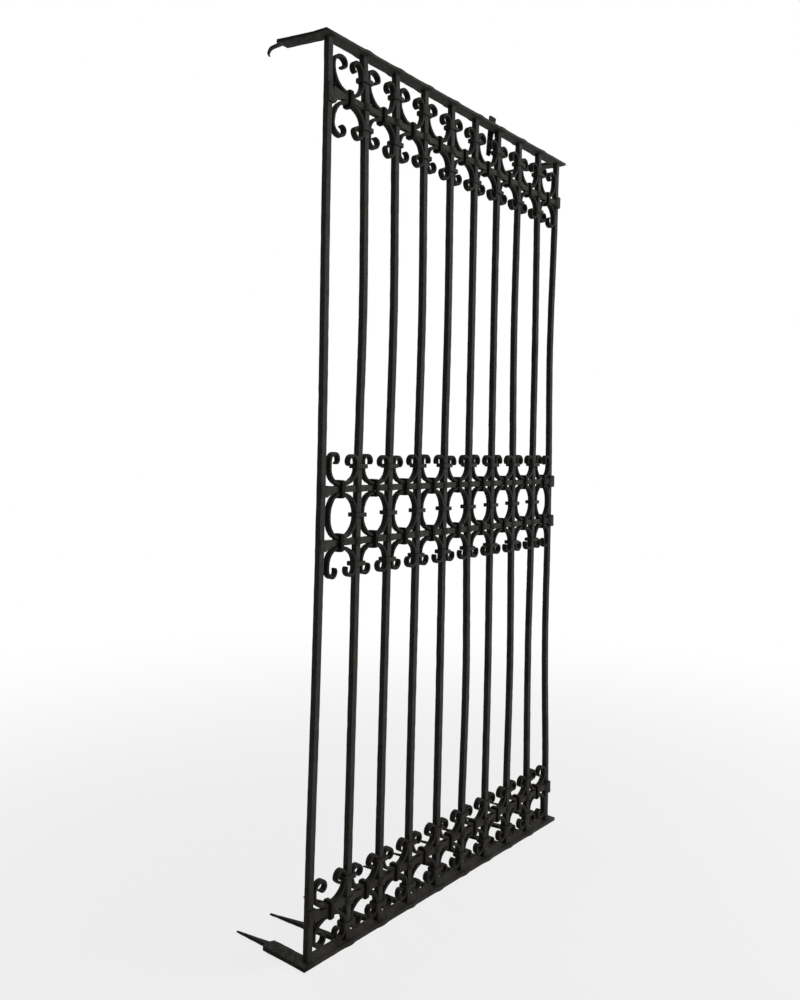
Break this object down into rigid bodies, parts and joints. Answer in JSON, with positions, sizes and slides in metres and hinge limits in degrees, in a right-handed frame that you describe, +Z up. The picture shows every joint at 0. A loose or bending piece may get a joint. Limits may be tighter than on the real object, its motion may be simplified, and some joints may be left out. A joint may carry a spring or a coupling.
{
  "type": "wrought iron window grille",
  "caption": "Tall wrought iron window grille: upright square bars through flat rails and pierced cross bars, bands of curled scrolls held by collars and clips, and wall anchors.",
  "frame": {"origin": "under the bottom rail, on the bars' axes, midway between the two middle bars", "axes": "+X along the rails, to the right seen from outside; +Y towards the wall; +Z up"},
  "size_m": [1.1455, 0.237, 2.1822],
  "materials": {
    "bar_iron": "dark, hand forged and weathered, with a little brown rust",
    "rail_iron": "dark, hand forged and weathered, with a little brown rust",
    "cross_bar_iron": "dark, hand forged and weathered, with a little brown rust",
    "scroll_iron": "dark, hand forged and weathered, with a little brown rust",
    "fitting_iron": "dark, hand forged and weathered, with a little brown rust"
  },
  "bodies": {
    "root": {"bar_01": "bar_iron", "bar_02": "bar_iron", "bar_03": "bar_iron", "bar_04": "bar_iron", "bar_05": "bar_iron", "bar_06": "bar_iron", "bar_07": "bar_iron", "bar_08": "bar_iron", "bar_09": "bar_iron", "bar_10": "bar_iron", "bottom_anchor_02": "rail_iron", "bottom_anchor_03": "rail_iron", "bottom_anchor_04": "rail_iron", "bottom_anchor_05": "rail_iron", "bottom_anchor_06": "rail_iron", "bottom_anchor_07": "rail_iron", "bottom_anchor_08": "rail_iron", "bottom_anchor_09": "rail_iron", "bottom_collars": "fitting_iron", "bottom_cross_bar": "cross_bar_iron", "bottom_lower_clips": "fitting_iron", "bottom_lower_scrolls_left": "scroll_iron", "bottom_lower_scrolls_right": "scroll_iron", "bottom_rail": "rail_iron", "bottom_upper_clips": "fitting_iron", "bottom_upper_scrolls_left": "scroll_iron", "bottom_upper_scrolls_right": "scroll_iron", "middle_lower_clips": "fitting_iron", "middle_lower_collars": "fitting_iron", "middle_lower_cross_bar": "cross_bar_iron", "middle_lower_scrolls_left": "scroll_iron", "middle_lower_scrolls_right": "scroll_iron", "middle_upper_clips": "fitting_iron", "middle_upper_collars": "fitting_iron", "middle_upper_cross_bar": "cross_bar_iron", "middle_upper_scrolls_left": "scroll_iron", "middle_upper_scrolls_right": "scroll_iron", "oval_arcs_left": "scroll_iron", "oval_arcs_right": "scroll_iron", "oval_clips": "fitting_iron", "top_collars": "fitting_iron", "top_cross_bar": "cross_bar_iron", "top_lower_clips": "fitting_iron", "top_lower_scrolls_left": "scroll_iron", "top_lower_scrolls_right": "scroll_iron", "top_rail": "rail_iron", "top_upper_clips": "fitting_iron", "top_upper_scrolls_left": "scroll_iron", "top_upper_scrolls_right": "scroll_iron", "upright_tie": "fitting_iron"}
  },
  "joints": []
}
